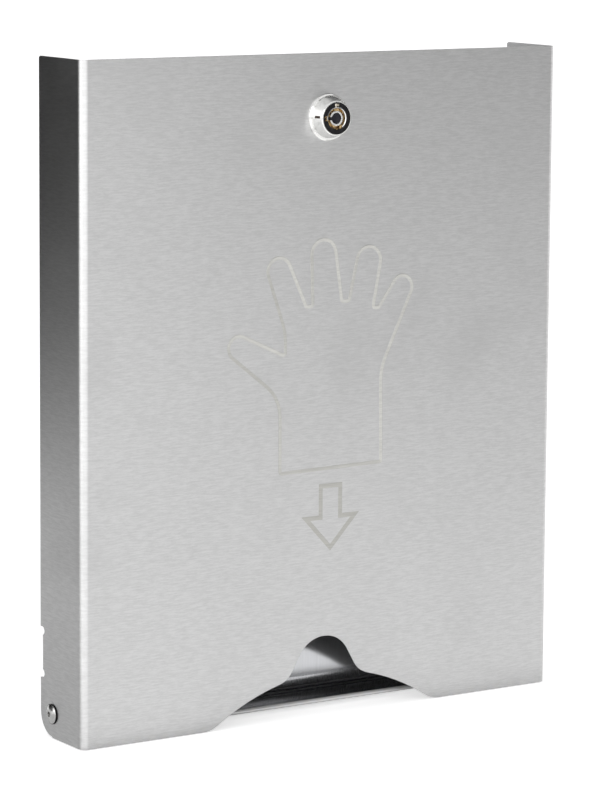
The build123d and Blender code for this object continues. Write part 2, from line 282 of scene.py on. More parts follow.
class BrushedGrain(Group):
    """Fine straight scratches along one direction, in three lengths."""

    name = "brushed_grain"
    inputs = {
        "Vector": ("NodeSocketVector", None),
        "Run": ("NodeSocketVector", (30.0, 30.0, 1200.0)),
    }
    outputs = {"Streaks": "NodeSocketFloat", "Hairs": "NodeSocketFloat", "Patches": "NodeSocketFloat"}
    finer = 3.7  # how many times finer the hairs are than the streaks
    patch_scale = 14.0

    def draw(self, graph: Graph, given: dict[str, Socket]) -> dict[str, Socket]:
        """Stretch three noises along the grain.

        Args:
            graph: The group's tree.
            given: Vector, and Run, the number of scratches a metre along each axis.

        Returns:
            Streaks that show from a step away, finer hairs, and broad patches.
        """
        stretched = graph.add(
            "ShaderNodeVectorMath", p_operation="MULTIPLY", i0=given["Vector"], i1=given["Run"]
        ).outputs[0]
        shrunk = graph.add("ShaderNodeVectorMath", p_operation="SCALE", i0=stretched, Scale=self.finer)
        return {
            "Streaks": graph.noise(stretched, 1.0, 3.0, 0.62),
            "Hairs": graph.noise(shrunk.outputs[0], 1.0, 2.0, 0.7),
            "Patches": graph.noise(given["Vector"], self.patch_scale, 2.0),
        }


class Handling(Group):
    """Finger marks, dust and dull places left by use."""

    name = "handling"
    inputs = {"Vector": ("NodeSocketVector", None), "Scale": ("NodeSocketFloat", 40.0)}
    outputs = {"Marks": "NodeSocketFloat"}
    clean, marked = 0.52, 0.72  # the cloud's values where marks start and are full

    def draw(self, graph: Graph, given: dict[str, Socket]) -> dict[str, Socket]:
        """Keep the thick parts of a soft cloud.

        Args:
            graph: The group's tree.
            given: Vector, and Scale, the number of marks a metre.

        Returns:
            Marks between 0 and 1.
        """
        cloud = graph.noise(given["Vector"], given["Scale"], 4.0, 0.55)
        return {"Marks": graph.ramp(cloud, self.clean, self.marked, 0.0, 1.0)}


class LatheRings(Group):
    """Fine rings that a turning tool leaves round an axis."""

    name = "lathe_rings"
    inputs = {"Vector": ("NodeSocketVector", None), "Pitch": ("NodeSocketFloat", 5000.0)}
    outputs = {"Rings": "NodeSocketFloat"}

    def draw(self, graph: Graph, given: dict[str, Socket]) -> dict[str, Socket]:
        """Cut the distance from the axis and along it into uneven rings.

        Args:
            graph: The group's tree.
            given: Vector with the axis along its Y, and Pitch, the rings a metre.

        Returns:
            The rings between 0 and 1.
        """
        travel = graph.math("ADD", graph.reach(given["Vector"]), graph.part(given["Vector"], "Y"))
        spaced = graph.math("MULTIPLY", travel, given["Pitch"])
        rings = graph.add("ShaderNodeTexNoise", p_noise_dimensions="1D", W=spaced, Scale=1.0, Detail=2.0)
        return {"Rings": rings.outputs["Fac"]}


# ---- finishes ----------------------------------------------------------------------


def toned(colour: Colour, share: float) -> Colour:
    """Return a colour made lighter or darker, and never too bright."""
    return tuple(min(part * share, BRIGHTEST) for part in colour)


@dataclass(frozen=True)
class Finish:
    """A finish of one material: what every finish shares."""

    name: str
    colour: Colour
    roughness: float = 0.35
    metallic: float = 1.0
    edge_radius: float = 0.15 * MM
    gloss: float = 0.5

    def material(self) -> bpy.types.Material:
        """Build the finish's material the first time.

        Returns:
            The material.
        """
        title = f"finish_{self.name}"
        made = bpy.data.materials.get(title)
        if made is None:
            made = bpy.data.materials.new(title)
            made.use_nodes = True
            made.node_tree.nodes.clear()
            graph = Graph(made.node_tree)
            surface = graph.add("ShaderNodeBsdfPrincipled", Metallic=self.metallic, Roughness=self.roughness)
            surface.inputs["Specular IOR Level"].default_value = self.gloss
            graph.feed(surface.inputs["Base Color"], self.colour)
            place = graph.add("ShaderNodeTexCoord").outputs["Object"]
            self.shade(graph, surface, place)
            graph.add("ShaderNodeOutputMaterial", Surface=surface.outputs[0])
        return made

    def shade(self, graph: Graph, surface: bpy.types.Node, place: Socket) -> None:
        """Feed the surface with the finish's own patterns.

        Args:
            graph: The material's tree.
            surface: Its Principled shader.
            place: Object coordinates.
        """
        raise NotImplementedError

    def bump(self, graph: Graph, surface: bpy.types.Node, height: object, depth: float) -> None:
        """Raise the surface by a height pattern and break its sharp edges.

        Args:
            graph: The material's tree.
            surface: Its Principled shader.
            height: The pattern's socket, 0 to 1.
            depth: Height of the pattern in metres.
        """
        broken = graph.add("ShaderNodeBevel", p_samples=6, Radius=self.edge_radius).outputs[0]
        node = graph.add("ShaderNodeBump", Strength=1.0, Distance=depth, Height=height, Normal=broken)
        graph.feed(surface.inputs["Normal"], node.outputs[0])


class Tangent(Enum):
    """Axis that the grain runs round."""

    ROUND_Z = "Z"
    ROUND_X = "X"
    ROUND_Y = "Y"


@dataclass(frozen=True)
class BrushedSteel(Finish):
    """Belt-brushed stainless sheet whose highlights spread across the grain."""

    run: Triple = (170.0, 170.0, 1350.0)  # scratches a metre along each axis
    tangent: Tangent = Tangent.ROUND_Z
    spread: float = 0.75
    turned: float = 0.25
    contrast: float = 0.08
    depth: float = 1.6e-6
    hair_share: float = 0.6
    scratches_dark, scratches_light = 0.55, 1.05  # the grain's sums where those tones are full
    mark_scale: float = 16.0
    mark_share: float = 0.25
    mark_tone: float = 0.93
    # pale colour laid on edges as a painted highlight
    painted_highlight_colour: Colour = (0.90, 0.90, 0.90)
    ground_rough: float = -0.05  # added to the roughness before the grain and the marks
    hair_rough: float = 0.1
    patch_rough: float = 0.04
    mark_rough: float = 0.05

    def lay_painted_highlight(self, graph: Graph, place: Socket, colour: Socket) -> Socket:
        """Return the colour with a painted highlight laid over the sheet's edges."""
        raise NotImplementedError

    def wear(self, graph: Graph, place: Socket, rough: Socket) -> Socket:
        """Return the roughness with the sheet's duller places added."""
        raise NotImplementedError

    def dullness(self, graph: Graph, place: Socket) -> Socket:
        """Return how far each place is from bare metal."""
        raise NotImplementedError

    def shade(self, graph: Graph, surface: bpy.types.Node, place: Socket) -> None:
        """Lay streaks and hairs along the grain, with handling marks.

        Args:
            graph: The material's tree.
            surface: Its Principled shader.
            place: Object coordinates.
        """
        grain = BrushedGrain().place(graph, Vector=place, Run=self.run)
        marks = Handling().place(graph, Vector=place, Scale=self.mark_scale)["Marks"]
        scratches = graph.raised(grain["Streaks"], grain["Hairs"], self.hair_share)
        share = graph.ramp(scratches, self.scratches_dark, self.scratches_light, 0.0, 1.0)
        dark, light = toned(self.colour, 1.0 - self.contrast), toned(self.colour, 1.0 + self.contrast)
        clean = graph.mix(share, dark, light)
        touched = graph.math("MULTIPLY", marks, self.mark_share)
        handled = graph.mix(touched, clean, toned(self.colour, self.mark_tone))
        # the edges' painted highlight colour is laid over the grain here
        graph.feed(surface.inputs["Base Color"], self.lay_painted_highlight(graph, place, handled))
        rough = graph.raised(self.roughness + self.ground_rough, grain["Hairs"], self.hair_rough)
        rough = graph.raised(rough, grain["Patches"], self.patch_rough)
        rough = graph.raised(rough, marks, self.mark_rough)
        graph.feed(surface.inputs["Roughness"], self.wear(graph, place, rough))
        bare = graph.math("SUBTRACT", 1.0, self.dullness(graph, place))
        graph.feed(surface.inputs["Metallic"], bare)
        graph.feed(surface.inputs["Anisotropic"], self.spread)
        graph.feed(surface.inputs["Anisotropic Rotation"], self.turned)
        tangent = graph.add("ShaderNodeTangent", p_direction_type="RADIAL", p_axis=self.tangent.value)
        graph.feed(surface.inputs["Tangent"], tangent.outputs[0])
        self.bump(graph, surface, scratches, self.depth)


@dataclass(frozen=True)
class CoverSteel(BrushedSteel):
    """The cover's sheet: brushed outside, mill-dull inside, with a painted highlight on its sheared edges."""

    inner_dull: float = 0.62
    inner_rough: float = 0.1
    cut_face: float = -38.9 * MM  # the openings' edges lie in front of this
    cut_reach: float = 126.0 * MM  # half the width that the openings lie in
    # the sheared edges are dulled so that their painted highlight colour shows
    cut_dull: float = 0.75
    cut_rough: float = 0.25

    def inside(self, graph: Graph, place: Socket) -> Socket:
        """Return a mask of the faces that look into the box."""
        toward = graph.add("ShaderNodeVectorMath", p_operation="DOT_PRODUCT", i0=graph.normal(), i1=place)
        return graph.math("LESS_THAN", toward.outputs["Value"], 0.0)

    def cut_edge(self, graph: Graph, place: Socket) -> Socket:
        """Find the sheared edges of the openings in the front panel.

        Args:
            graph: The material's tree.
            place: Object coordinates.

        Returns:
            1 on a sheared edge, 0 on the sheet's faces and bends.
        """
        front = graph.math("LESS_THAN", graph.part(place, "Y"), self.cut_face)
        middle = graph.math("LESS_THAN", graph.math("ABSOLUTE", graph.part(place, "X")), self.cut_reach)
        forward = graph.math("ABSOLUTE", graph.part(graph.normal(), "Y"))
        return graph.overlap(front, middle, graph.math("LESS_THAN", forward, FACING))

    def lay_painted_highlight(self, graph: Graph, place: Socket, colour: Socket) -> Socket:
        """Return the colour with a painted highlight laid over the sheared edges."""
        return graph.mix(self.cut_edge(graph, place), colour, self.painted_highlight_colour)

    def wear(self, graph: Graph, place: Socket, rough: Socket) -> Socket:
        """Return the roughness, raised on the inner faces and the sheared edges."""
        within = graph.raised(rough, self.inside(graph, place), self.inner_rough)
        return graph.raised(within, self.cut_edge(graph, place), self.cut_rough)

    def dullness(self, graph: Graph, place: Socket) -> Socket:
        """Dull the inner faces and the sheared edges.

        Args:
            graph: The material's tree.
            place: Object coordinates.

        Returns:
            How far each place is from bare metal.
        """
        inner = graph.math("MULTIPLY", self.inside(graph, place), self.inner_dull)
        cut = graph.math("MULTIPLY", self.cut_edge(graph, place), self.cut_dull)
        return graph.math("MAXIMUM", inner, cut)


@dataclass(frozen=True)
class PlateSteel(BrushedSteel):
    """The wall plate's sheet: bright in front, dull behind, with a worn trough and a painted highlight on the
    hem's nose.
    """

    hem_face: float = -24.6 * MM  # the hem's nose lies in front of this
    hem_reach: float = 126.8 * MM
    # the hem's nose is dulled so that its painted highlight colour shows
    hem_dull: float = 0.6
    bend_foot: float = -148.0 * MM  # the trough's bend is rougher below this
    bend_blend: float = 2.0 * MM
    bend_height: float = 6.0 * MM
    bend_rough: float = 0.16
    back_rough: float = 0.26

    def hem_nose(self, graph: Graph, place: Socket) -> Socket:
        """Find the nose of the hem, where the trough's lip is folded back.

        Args:
            graph: The material's tree.
            place: Object coordinates.

        Returns:
            1 on the nose, 0 elsewhere.
        """
        front = graph.math("LESS_THAN", graph.part(place, "Y"), self.hem_face)
        middle = graph.math("LESS_THAN", graph.math("ABSOLUTE", graph.part(place, "X")), self.hem_reach)
        low = graph.math("LESS_THAN", graph.part(place, "Z"), self.bend_foot)
        return graph.overlap(front, middle, low)

    def lay_painted_highlight(self, graph: Graph, place: Socket, colour: Socket) -> Socket:
        """Return the colour with a painted highlight laid over the hem's nose."""
        return graph.mix(self.hem_nose(graph, place), colour, self.painted_highlight_colour)

    def wear(self, graph: Graph, place: Socket, rough: Socket) -> Socket:
        """Roughen the trough's bend and the back.

        Args:
            graph: The material's tree.
            place: Object coordinates.
            rough: The roughness of the brushed faces.

        Returns:
            The roughness of the whole sheet.
        """
        height = graph.part(place, "Z")
        below = graph.ramp(height, self.bend_foot - self.bend_blend, self.bend_foot, self.bend_rough, 0.0)
        above = graph.math("GREATER_THAN", height, self.bend_foot - self.bend_height)
        bent = graph.raised(rough, below, above)
        behind = graph.math("GREATER_THAN", graph.part(graph.normal(), "Y"), FACING)
        return graph.raised(bent, behind, self.back_rough)

    def dullness(self, graph: Graph, place: Socket) -> Socket:
        """Return how far the hem's nose is from bare metal."""
        return graph.math("MULTIPLY", self.hem_nose(graph, place), self.hem_dull)


@dataclass(frozen=True)
class PaintedDarkReflection:
    """A short dark stroke on the left of the lock's cone: a painted dark reflection."""

    height: float = 0.7 * MM  # above the lock's axis
    half_width: float = 0.45 * MM
    side_blend: float = 0.3 * MM
    middle: float = -44.4 * MM
    half_length: float = 1.3 * MM
    end_blend: float = 0.4 * MM
    left_of: float = -8.4 * MM
    # colour of the painted dark reflection
    reflection_colour: Colour = (0.055, 0.042, 0.035)
    rough: float = 0.4

    def mask(self, graph: Graph, local: Socket) -> Socket:
        """Place the stroke on the left of the cone.

        Args:
            graph: The material's tree.
            local: Coordinates round the axis.

        Returns:
            1 on the stroke, 0 beside it.
        """
        across = graph.math("ABSOLUTE", graph.math("SUBTRACT", graph.part(local, "Z"), self.height))
        wide = graph.ramp(across, self.half_width, self.half_width + self.side_blend, 1.0, 0.0)
        along = graph.math("ABSOLUTE", graph.math("SUBTRACT", graph.part(local, "Y"), self.middle))
        long = graph.ramp(along, self.half_length, self.half_length + self.end_blend, 1.0, 0.0)
        left = graph.math("LESS_THAN", graph.part(local, "X"), self.left_of)
        return graph.overlap(wide, long, left)


@dataclass(frozen=True)
class Thread:
    """The screw thread of the lock's barrel, from the sheet backwards."""

    pitch: float = 1.0 * MM
    inner_radius: float = 8.9 * MM
    front: float = -38.9 * MM

    def height(self, graph: Graph, local: Socket) -> Socket:
        """Wind the thread round the barrel.

        Args:
            graph: The material's tree.
            local: Coordinates round the axis.

        Returns:
            The thread's height above its root, in metres.
        """
        turn = graph.math("ARCTAN2", graph.part(local, "Z"), graph.part(local, "X"))
        along = graph.raised(graph.part(local, "Y"), turn, self.pitch / math.tau)
        crest = graph.math("PINGPONG", along, self.pitch / 2)
        barrel = graph.math("GREATER_THAN", graph.reach(local), self.inner_radius)
        behind = graph.math("GREATER_THAN", graph.part(local, "Y"), self.front)
        return graph.overlap(crest, barrel, behind)


@dataclass(frozen=True)
class TurnedMetal(Finish):
    """Metal turned on a lathe, polished or plated, round an axis along Y or X."""

    centre: Place = (0.0, 0.0, 0.0)
    axis: Tangent = Tangent.ROUND_Y
    pitch: float = 5000.0
    contrast: float = 0.06
    depth: float = 1.0e-6
    thread: Thread | None = None
    # a painted dark reflection on the cone, or none
    dark_reflection: PaintedDarkReflection | None = None
    tarnish: Colour | None = None
    tarnish_scale: float = 620.0
    bright, stained = 0.42, 0.60  # the cloud's values where tarnish starts and is full
    shade_ring_from: float = 0.0  # distance from the axis where a painted shadow ring starts, 0 for none
    shade_ring_blend: float = 0.25 * MM
    shade_ring_colour: Colour = (0.012, 0.012, 0.012)
    shade_ring_rough: float = 0.4
    mark_scale: float = 260.0
    smudge: float = 0.35
    smudge_tone: float = 0.7
    smudge_rough: float = 0.12

    def shade(self, graph: Graph, surface: bpy.types.Node, place: Socket) -> None:
        """Lay turning rings, handling marks, tarnish, painted reflection and shadow on the metal.

        Args:
            graph: The material's tree.
            surface: Its Principled shader.
            place: Object coordinates.
        """
        turn = (0.0, 0.0, math.pi / 2) if self.axis is Tangent.ROUND_X else (0.0, 0.0, 0.0)
        centred = graph.add("ShaderNodeVectorMath", p_operation="SUBTRACT", i0=place, i1=self.centre)
        local = graph.add("ShaderNodeMapping", Vector=centred.outputs[0], Rotation=turn).outputs[0]
        rings = LatheRings().place(graph, Vector=local, Pitch=self.pitch)["Rings"]
        marks = Handling().place(graph, Vector=place, Scale=self.mark_scale)["Marks"]
        colour = graph.mix(rings, toned(self.colour, 1.0 - self.contrast), self.colour)
        smudged = graph.math("MULTIPLY", marks, self.smudge)
        colour = graph.mix(smudged, colour, toned(self.colour, self.smudge_tone))
        rough = graph.raised(self.roughness, marks, self.smudge_rough)
        if self.tarnish is not None:
            stain = graph.noise(place, self.tarnish_scale, 2.0)
            colour = graph.mix(graph.ramp(stain, self.bright, self.stained, 0.0, 1.0), colour, self.tarnish)
        # painted reflection: a dark stroke on the left of the cone
        if self.dark_reflection is not None:
            stroke = self.dark_reflection.mask(graph, local)
            colour = graph.mix(stroke, colour, self.dark_reflection.reflection_colour)
            rough = graph.raised(rough, stroke, self.dark_reflection.rough)
        # painted shadow: the rim beyond this distance from the axis is darkened
        if self.shade_ring_from > 0.0:
            ends = (self.shade_ring_from, self.shade_ring_from + self.shade_ring_blend)
            shade_ring = graph.ramp(graph.reach(local), *ends, 0.0, 1.0)
            colour = graph.mix(shade_ring, colour, self.shade_ring_colour)
            rough = graph.raised(rough, shade_ring, self.shade_ring_rough)
        graph.feed(surface.inputs["Base Color"], colour)
        graph.feed(surface.inputs["Roughness"], rough)
        height = rings
        if self.thread is not None:
            height = graph.raised(rings, self.thread.height(graph, local), 1.0 / self.depth)
        self.bump(graph, surface, height, self.depth)


@dataclass(frozen=True)
class Moulded(Finish):
    """Plastic or lacquer with a fine moulded grain."""

    scale: float = 3000.0
    depth: float = 4.0e-6
    contrast: float = 0.25
    lift: float = 0.004  # lets the grain show on black too
    mark_scale: float = 300.0
    mark_rough: float = 0.15

    def shade(self, graph: Graph, surface: bpy.types.Node, place: Socket) -> None:
        """Mottle the colour and the surface.

        Args:
            graph: The material's tree.
            surface: Its Principled shader.
            place: Object coordinates.
        """
        grain = graph.noise(place, self.scale, 3.0)
        marks = Handling().place(graph, Vector=place, Scale=self.mark_scale)["Marks"]
        light = tuple(min(part * (1.0 + self.contrast) + self.lift, BRIGHTEST) for part in self.colour)
        graph.feed(surface.inputs["Base Color"], graph.mix(grain, self.colour, light))
        graph.feed(surface.inputs["Roughness"], graph.raised(self.roughness, marks, self.mark_rough))
        self.bump(graph, surface, grain, self.depth)


@dataclass(frozen=True)
class BlackedMetal(Finish):
    """Bright metal with a black lacquer on its front face alone."""

    lacquer: Colour = (0.010, 0.010, 0.011)
    face: float = -47.45 * MM
    thickness: float = 0.12 * MM
    whole: float = 0.6  # part of the thickness down to which the lacquer is whole
    chips: float = 0.08 * MM
    scale: float = 2600.0
    depth: float = 1.5e-6
    lacquer_rough: float = 0.25
    mark_scale: float = 300.0
    mark_tone: float = 2.5
    mark_rough: float = 0.1

    def shade(self, graph: Graph, surface: bpy.types.Node, place: Socket) -> None:
        """Lay the lacquer on the face, chipped a little where it ends.

        Args:
            graph: The material's tree.
            surface: Its Principled shader.
            place: Object coordinates.
        """
        grain = graph.noise(place, self.scale, 3.0)
        marks = Handling().place(graph, Vector=place, Scale=self.mark_scale)["Marks"]
        below = graph.math("SUBTRACT", graph.part(place, "Y"), self.face)
        chipped = graph.raised(below, grain, -self.chips)
        bare = graph.ramp(chipped, self.thickness * self.whole, self.thickness, 0.0, 1.0)
        black = graph.mix(marks, self.lacquer, toned(self.lacquer, self.mark_tone))
        graph.feed(surface.inputs["Base Color"], graph.mix(bare, black, self.colour))
        graph.feed(surface.inputs["Metallic"], bare)
        rough = graph.raised(self.roughness, graph.math("SUBTRACT", 1.0, bare), self.lacquer_rough)
        graph.feed(surface.inputs["Roughness"], graph.raised(rough, marks, self.mark_rough))
        self.bump(graph, surface, grain, self.depth)


@dataclass(frozen=True)
class Etched(Finish):
    """A line etched dull into the sheet, with the grain still faintly in it."""

    run: Triple = (60.0, 60.0, 1500.0)
    grain_share: float = 0.6
    pit_scale: float = 9000.0
    pit_share: float = 0.4
    pit_rough: float = 0.15
    depth: float = 3.0e-6
    dark, light = 0.88, 1.08  # how much darker and lighter the speckles are
    pitted, flat = 0.35, 0.65  # the pattern's values where those tones are full

    def shade(self, graph: Graph, surface: bpy.types.Node, place: Socket) -> None:
        """Speckle the etched metal and let the grain show through.

        Args:
            graph: The material's tree.
            surface: Its Principled shader.
            place: Object coordinates.
        """
        grain = BrushedGrain().place(graph, Vector=place, Run=self.run)
        pits = graph.noise(place, self.pit_scale, 3.0)
        streaks = graph.math("MULTIPLY", grain["Streaks"], self.grain_share)
        pattern = graph.raised(streaks, pits, self.pit_share)
        share = graph.ramp(pattern, self.pitted, self.flat, 0.0, 1.0)
        colour = graph.mix(share, toned(self.colour, self.dark), toned(self.colour, self.light))
        graph.feed(surface.inputs["Base Color"], colour)
        graph.feed(surface.inputs["Roughness"], graph.raised(self.roughness, pits, self.pit_rough))
        self.bump(graph, surface, pits, self.depth)


LOCK_CENTRE: Place = (0.0, 0.0, 129.4 * MM)
HINGE_CENTRE: Place = (0.0, -11.5 * MM, -148.5 * MM)

COVER_STEEL = CoverSteel("cover_brushed_steel", (0.63, 0.63, 0.63), roughness=0.40, edge_radius=0.35 * MM)
PLATE_STEEL = PlateSteel(
    "plate_bright_steel",
    (0.515, 0.52, 0.535),
    roughness=0.10,
    run=(1100.0, 25.0, 25.0),
    tangent=Tangent.ROUND_X,
    spread=0.35,
    contrast=0.04,
    depth=0.25e-6,
)
LOCK_CHROME = TurnedMetal(
    "lock_chrome",
    (0.78, 0.78, 0.765),
    roughness=0.09,
    smudge=0.85,
    centre=LOCK_CENTRE,
    contrast=0.04,
    thread=Thread(),
    dark_reflection=PaintedDarkReflection(),
)
LOCK_BLACK = BlackedMetal("lock_black_ring", (0.86, 0.83, 0.77), roughness=0.14, gloss=0.15)
LOCK_BRASS = TurnedMetal(
    "lock_brass",
    (0.86, 0.64, 0.34),
    roughness=0.24,
    centre=LOCK_CENTRE,
    contrast=0.3,
    tarnish=(0.13, 0.075, 0.045),
)
POST_STEEL = TurnedMetal("lock_post_steel", (0.80, 0.80, 0.79), roughness=0.14, centre=LOCK_CENTRE)
FASTENER_STEEL = TurnedMetal(
    "zinc_plated_steel",
    (0.58, 0.58, 0.56),
    roughness=0.34,
    centre=LOCK_CENTRE,
    contrast=0.15,
)
RIVET_STEEL = TurnedMetal(
    "rivet_steel",
    (0.66, 0.66, 0.65),
    roughness=0.22,
    centre=HINGE_CENTRE,
    axis=Tangent.ROUND_X,
    contrast=0.08,
    # painted shadow: a dark ring round the rivet head's rim
    shade_ring_from=4.45 * MM,
)
MANDREL_STEEL = TurnedMetal(
    "mandrel_steel",
    (0.30, 0.29, 0.28),
    roughness=0.45,
    centre=HINGE_CENTRE,
    axis=Tangent.ROUND_X,
    contrast=0.3,
)
WASHER_NYLON = Moulded("washer_nylon", (0.78, 0.77, 0.72), roughness=0.45, metallic=0.0, contrast=0.05)
ETCHED_LINE = Etched("etched_line", (0.56, 0.555, 0.53), roughness=0.38, metallic=0.85)
ETCHED_ARROW = Etched("etched_arrow", (0.47, 0.465, 0.44), roughness=0.42, metallic=0.80)
# near-white and part diffuse so the rim reads bright all round: partly a painted highlight
KEYWAY_EDGE_HIGHLIGHT = TurnedMetal(
    "keyway_edge_highlight",
    (0.88, 0.88, 0.87),
    roughness=0.22,
    metallic=0.7,
    centre=LOCK_CENTRE,
)
# painted shade: near-black finish of the disc standing in for the post's deep bore
BORE_SHADE = Moulded("bore_shade", (0.012, 0.012, 0.018), roughness=0.5, metallic=0.0, gloss=0.2)

NODE_FINISHES: dict[str, Finish] = {
    "cover_steel": COVER_STEEL,
    "plate_steel": PLATE_STEEL,
    "lock_chrome": LOCK_CHROME,
    "lock_black": LOCK_BLACK,
    "lock_brass": LOCK_BRASS,
    "post_steel": POST_STEEL,
    "fastener_steel": FASTENER_STEEL,
    "rivet_steel": RIVET_STEEL,
    "mandrel_steel": MANDREL_STEEL,
    "washer_nylon": WASHER_NYLON,
}


# ---- modelling helpers -------------------------------------------------------------


class Bench:
    """Edit-mode steps that several pieces share."""

    @staticmethod
    def clear() -> None:
        """Leave edit mode and select nothing."""
        if bpy.context.object is not None and bpy.context.object.mode != "OBJECT":
            bpy.ops.object.mode_set(mode="OBJECT")
        bpy.ops.object.select_all(action="DESELECT")

    @staticmethod
    def pick_faces(piece: bpy.types.Object, wanted: Callable[[Vector, Vector], bool]) -> None:
        """Enter edit mode with only some faces selected.

        Args:
            piece: The active object.
            wanted: Says of a face's centre and normal whether it is picked.
        """
        bpy.ops.object.mode_set(mode="EDIT")
        bpy.ops.mesh.select_mode(type="FACE")
        bpy.ops.mesh.select_all(action="DESELECT")
        bpy.ops.object.mode_set(mode="OBJECT")
        for face in piece.data.polygons:
            face.select = wanted(face.center, face.normal)
        bpy.ops.object.mode_set(mode="EDIT")

    @staticmethod
    def settle(piece: bpy.types.Object) -> None:
        """Put a finished piece's place into its mesh.

        Args:
            piece: The finished object.
        """
        Bench.clear()
        piece.select_set(True)
        bpy.context.view_layer.objects.active = piece
        bpy.ops.object.transform_apply(location=True, rotation=True, scale=True)
        Bench.clear()

    @staticmethod
    def finish(piece: bpy.types.Object, finish: Finish, body: str, slot: str) -> None:
        """Dress a piece and fasten it to its body.

        Args:
            piece: The finished object.
            finish: Its finish.
            body: The body it moves with.
            slot: A material slot's name; not used.
        """
        piece.data.materials.clear()
        piece.data.materials.append(finish.material())
        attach(piece, body)
        LOG.info("piece %s: %d faces, on %s", piece.name, len(piece.data.polygons), body)


# ---- etched pictogram --------------------------------------------------------------


@dataclass(frozen=True)
class Knot:
    """A round that an outline is pulled tight around, in millimetres.

    A positive radius turns the line clockwise, a negative one anticlockwise and none
    makes a corner.
    """

    x: float
    z: float
    radius: float = 0.0


@dataclass
class Outline:
    """A closed line pulled tight round its knots, like a belt round pulleys."""

    knots: Sequence[Knot]
    step: float = math.radians(12.0)

    def heading(self, start: Knot, end: Knot) -> float:
        """Return the direction of the straight run between two knots.

        Args:
            start: The knot that the run leaves.
            end: The knot that it reaches.

        Returns:
            The angle of the run from +X.
        """
        across, up = end.x - start.x, end.z - start.z
        lean = math.asin((start.radius - end.radius) / math.hypot(across, up))
        return math.atan2(up, across) - lean

    def points(self) -> list[Point]:
        """Go once round the knots.

        Returns:
            The outline's points in order, in millimetres.
        """
        count = len(self.knots)
        runs = [self.heading(self.knots[i], self.knots[(i + 1) % count]) for i in range(count)]
        found: list[Point] = []
        for i, knot in enumerate(self.knots):
            start, end = runs[i - 1], runs[i]
            if knot.radius == 0:
                found.append((knot.x, knot.z))
                continue
            turn = (start - end) % math.tau if knot.radius > 0 else -((end - start) % math.tau)
            steps = max(2, math.ceil(abs(turn) / self.step))
            for k in range(steps + 1):
                angle = start - turn * k / steps + math.pi / 2
                found.append((knot.x + knot.radius * math.cos(angle), knot.z + knot.radius * math.sin(angle)))
        return found


@dataclass
class Pictogram:
    """The outline of a glove with an arrow below it, etched into the cover, in millimetres."""

    line_width: float = 1.7
    proud: float = 0.03
    sunk: float = 0.05
    slope: float = 0.16
    arrow_width: float = 2.2
    foot: float = -160.0
    face: float = -40.0
    valley: float = 1.2
    glove: list[Knot] = field(default_factory=list)

    def __post_init__(self) -> None:
        """Lay out the glove's fingers, valleys and cuff, heights above the cover's foot."""
        self.glove = [
            Knot(-25.0, 121.5, 0.9),
            Knot(-45.6, 147.5, -19.6),
            Knot(-49.2, 182.5, 5.7),
            Knot(-24.4, 178.7, -self.valley),
            Knot(-48.3, 184.0, -25.0),
            Knot(-26.9, 217.6, 6.4),
            Knot(-10.9, 201.0, -self.valley),
            Knot(-9.1, 201.0, -self.valley),
            Knot(-1.8, 224.6, 6.8),
            Knot(9.6, 202.4, -self.valley),
            Knot(11.9, 202.4, -self.valley),
            Knot(24.0, 219.9, 6.8),
            Knot(28.0, 198.2, -self.valley),
            Knot(29.6, 198.2, -self.valley),
            Knot(43.6, 205.9, 5.7),
            Knot(56.0, 161.5, -24.5),
            Knot(31.1, 122.5, 0.9),
        ]

    def arrow(self) -> list[Knot]:
        """Lay out the arrow, heights above the cover's foot.

        Returns:
            The arrow's corners, clockwise.
        """
        centre, half_shaft, half_head = 3.0, 6.7, 16.6
        top, shoulder, tip = 113.5, 98.3, 80.6
        return [
            Knot(centre - half_shaft, top),
            Knot(centre + half_shaft, top),
            Knot(centre + half_shaft, shoulder),
            Knot(centre + half_head, shoulder),
            Knot(centre, tip),
            Knot(centre - half_head, shoulder),
            Knot(centre - half_shaft, shoulder),
        ]

    def etch(self, name: str, points: Sequence[Point], width: float, slope: float) -> bpy.types.Object:
        """Make one closed line of even width from its outer edge.

        Args:
            name: The piece's name.
            points: The outer edge, clockwise, in millimetres.
            width: Width of the line.
            slope: How much further the outer edge stands out than the inner one.

        Returns:
            The finished piece, sunk into the cover's face.
        """
        Bench.clear()
        bpy.ops.mesh.primitive_circle_add(vertices=len(points), radius=1.0, fill_type="NGON")
        piece = bpy.context.object
        piece.name = name
        for vertex, (x, z) in zip(piece.data.vertices, points):
            vertex.co = (x * MM, (self.face - self.proud - slope) * MM, (z + self.foot) * MM)
        bpy.ops.object.mode_set(mode="EDIT")
        bpy.ops.mesh.select_all(action="SELECT")
        bpy.ops.mesh.inset(thickness=width * MM, depth=0.0, use_even_offset=True)
        bpy.ops.transform.translate(value=(0.0, slope * MM, 0.0))
        bpy.ops.mesh.delete(type="FACE")
        bpy.ops.mesh.select_all(action="SELECT")
        bpy.ops.mesh.extrude_region_move(
            TRANSFORM_OT_translate={"value": (0.0, (self.proud + self.sunk + slope) * MM, 0.0)}
        )
        bpy.ops.mesh.select_all(action="SELECT")
        bpy.ops.mesh.normals_make_consistent(inside=False)
        bpy.ops.object.mode_set(mode="OBJECT")
        Bench.settle(piece)
        return piece

    def build(self) -> None:
        """Etch the glove and the arrow into the cover."""
        half = self.line_width / 2
        wide = [Knot(k.x, k.z, k.radius + half) for k in self.glove]
        for name, knots, width, slope, look in (
            ("glove_line", wide, self.line_width, self.slope, ETCHED_LINE),
            ("arrow_line", self.arrow(), self.arrow_width, 0.0, ETCHED_ARROW),
        ):
            piece = self.etch(name, Outline(knots).points(), width, slope)
            Bench.finish(piece, look, "cover", "cover_steel")


# ---- lock details ------------------------------------------------------------------


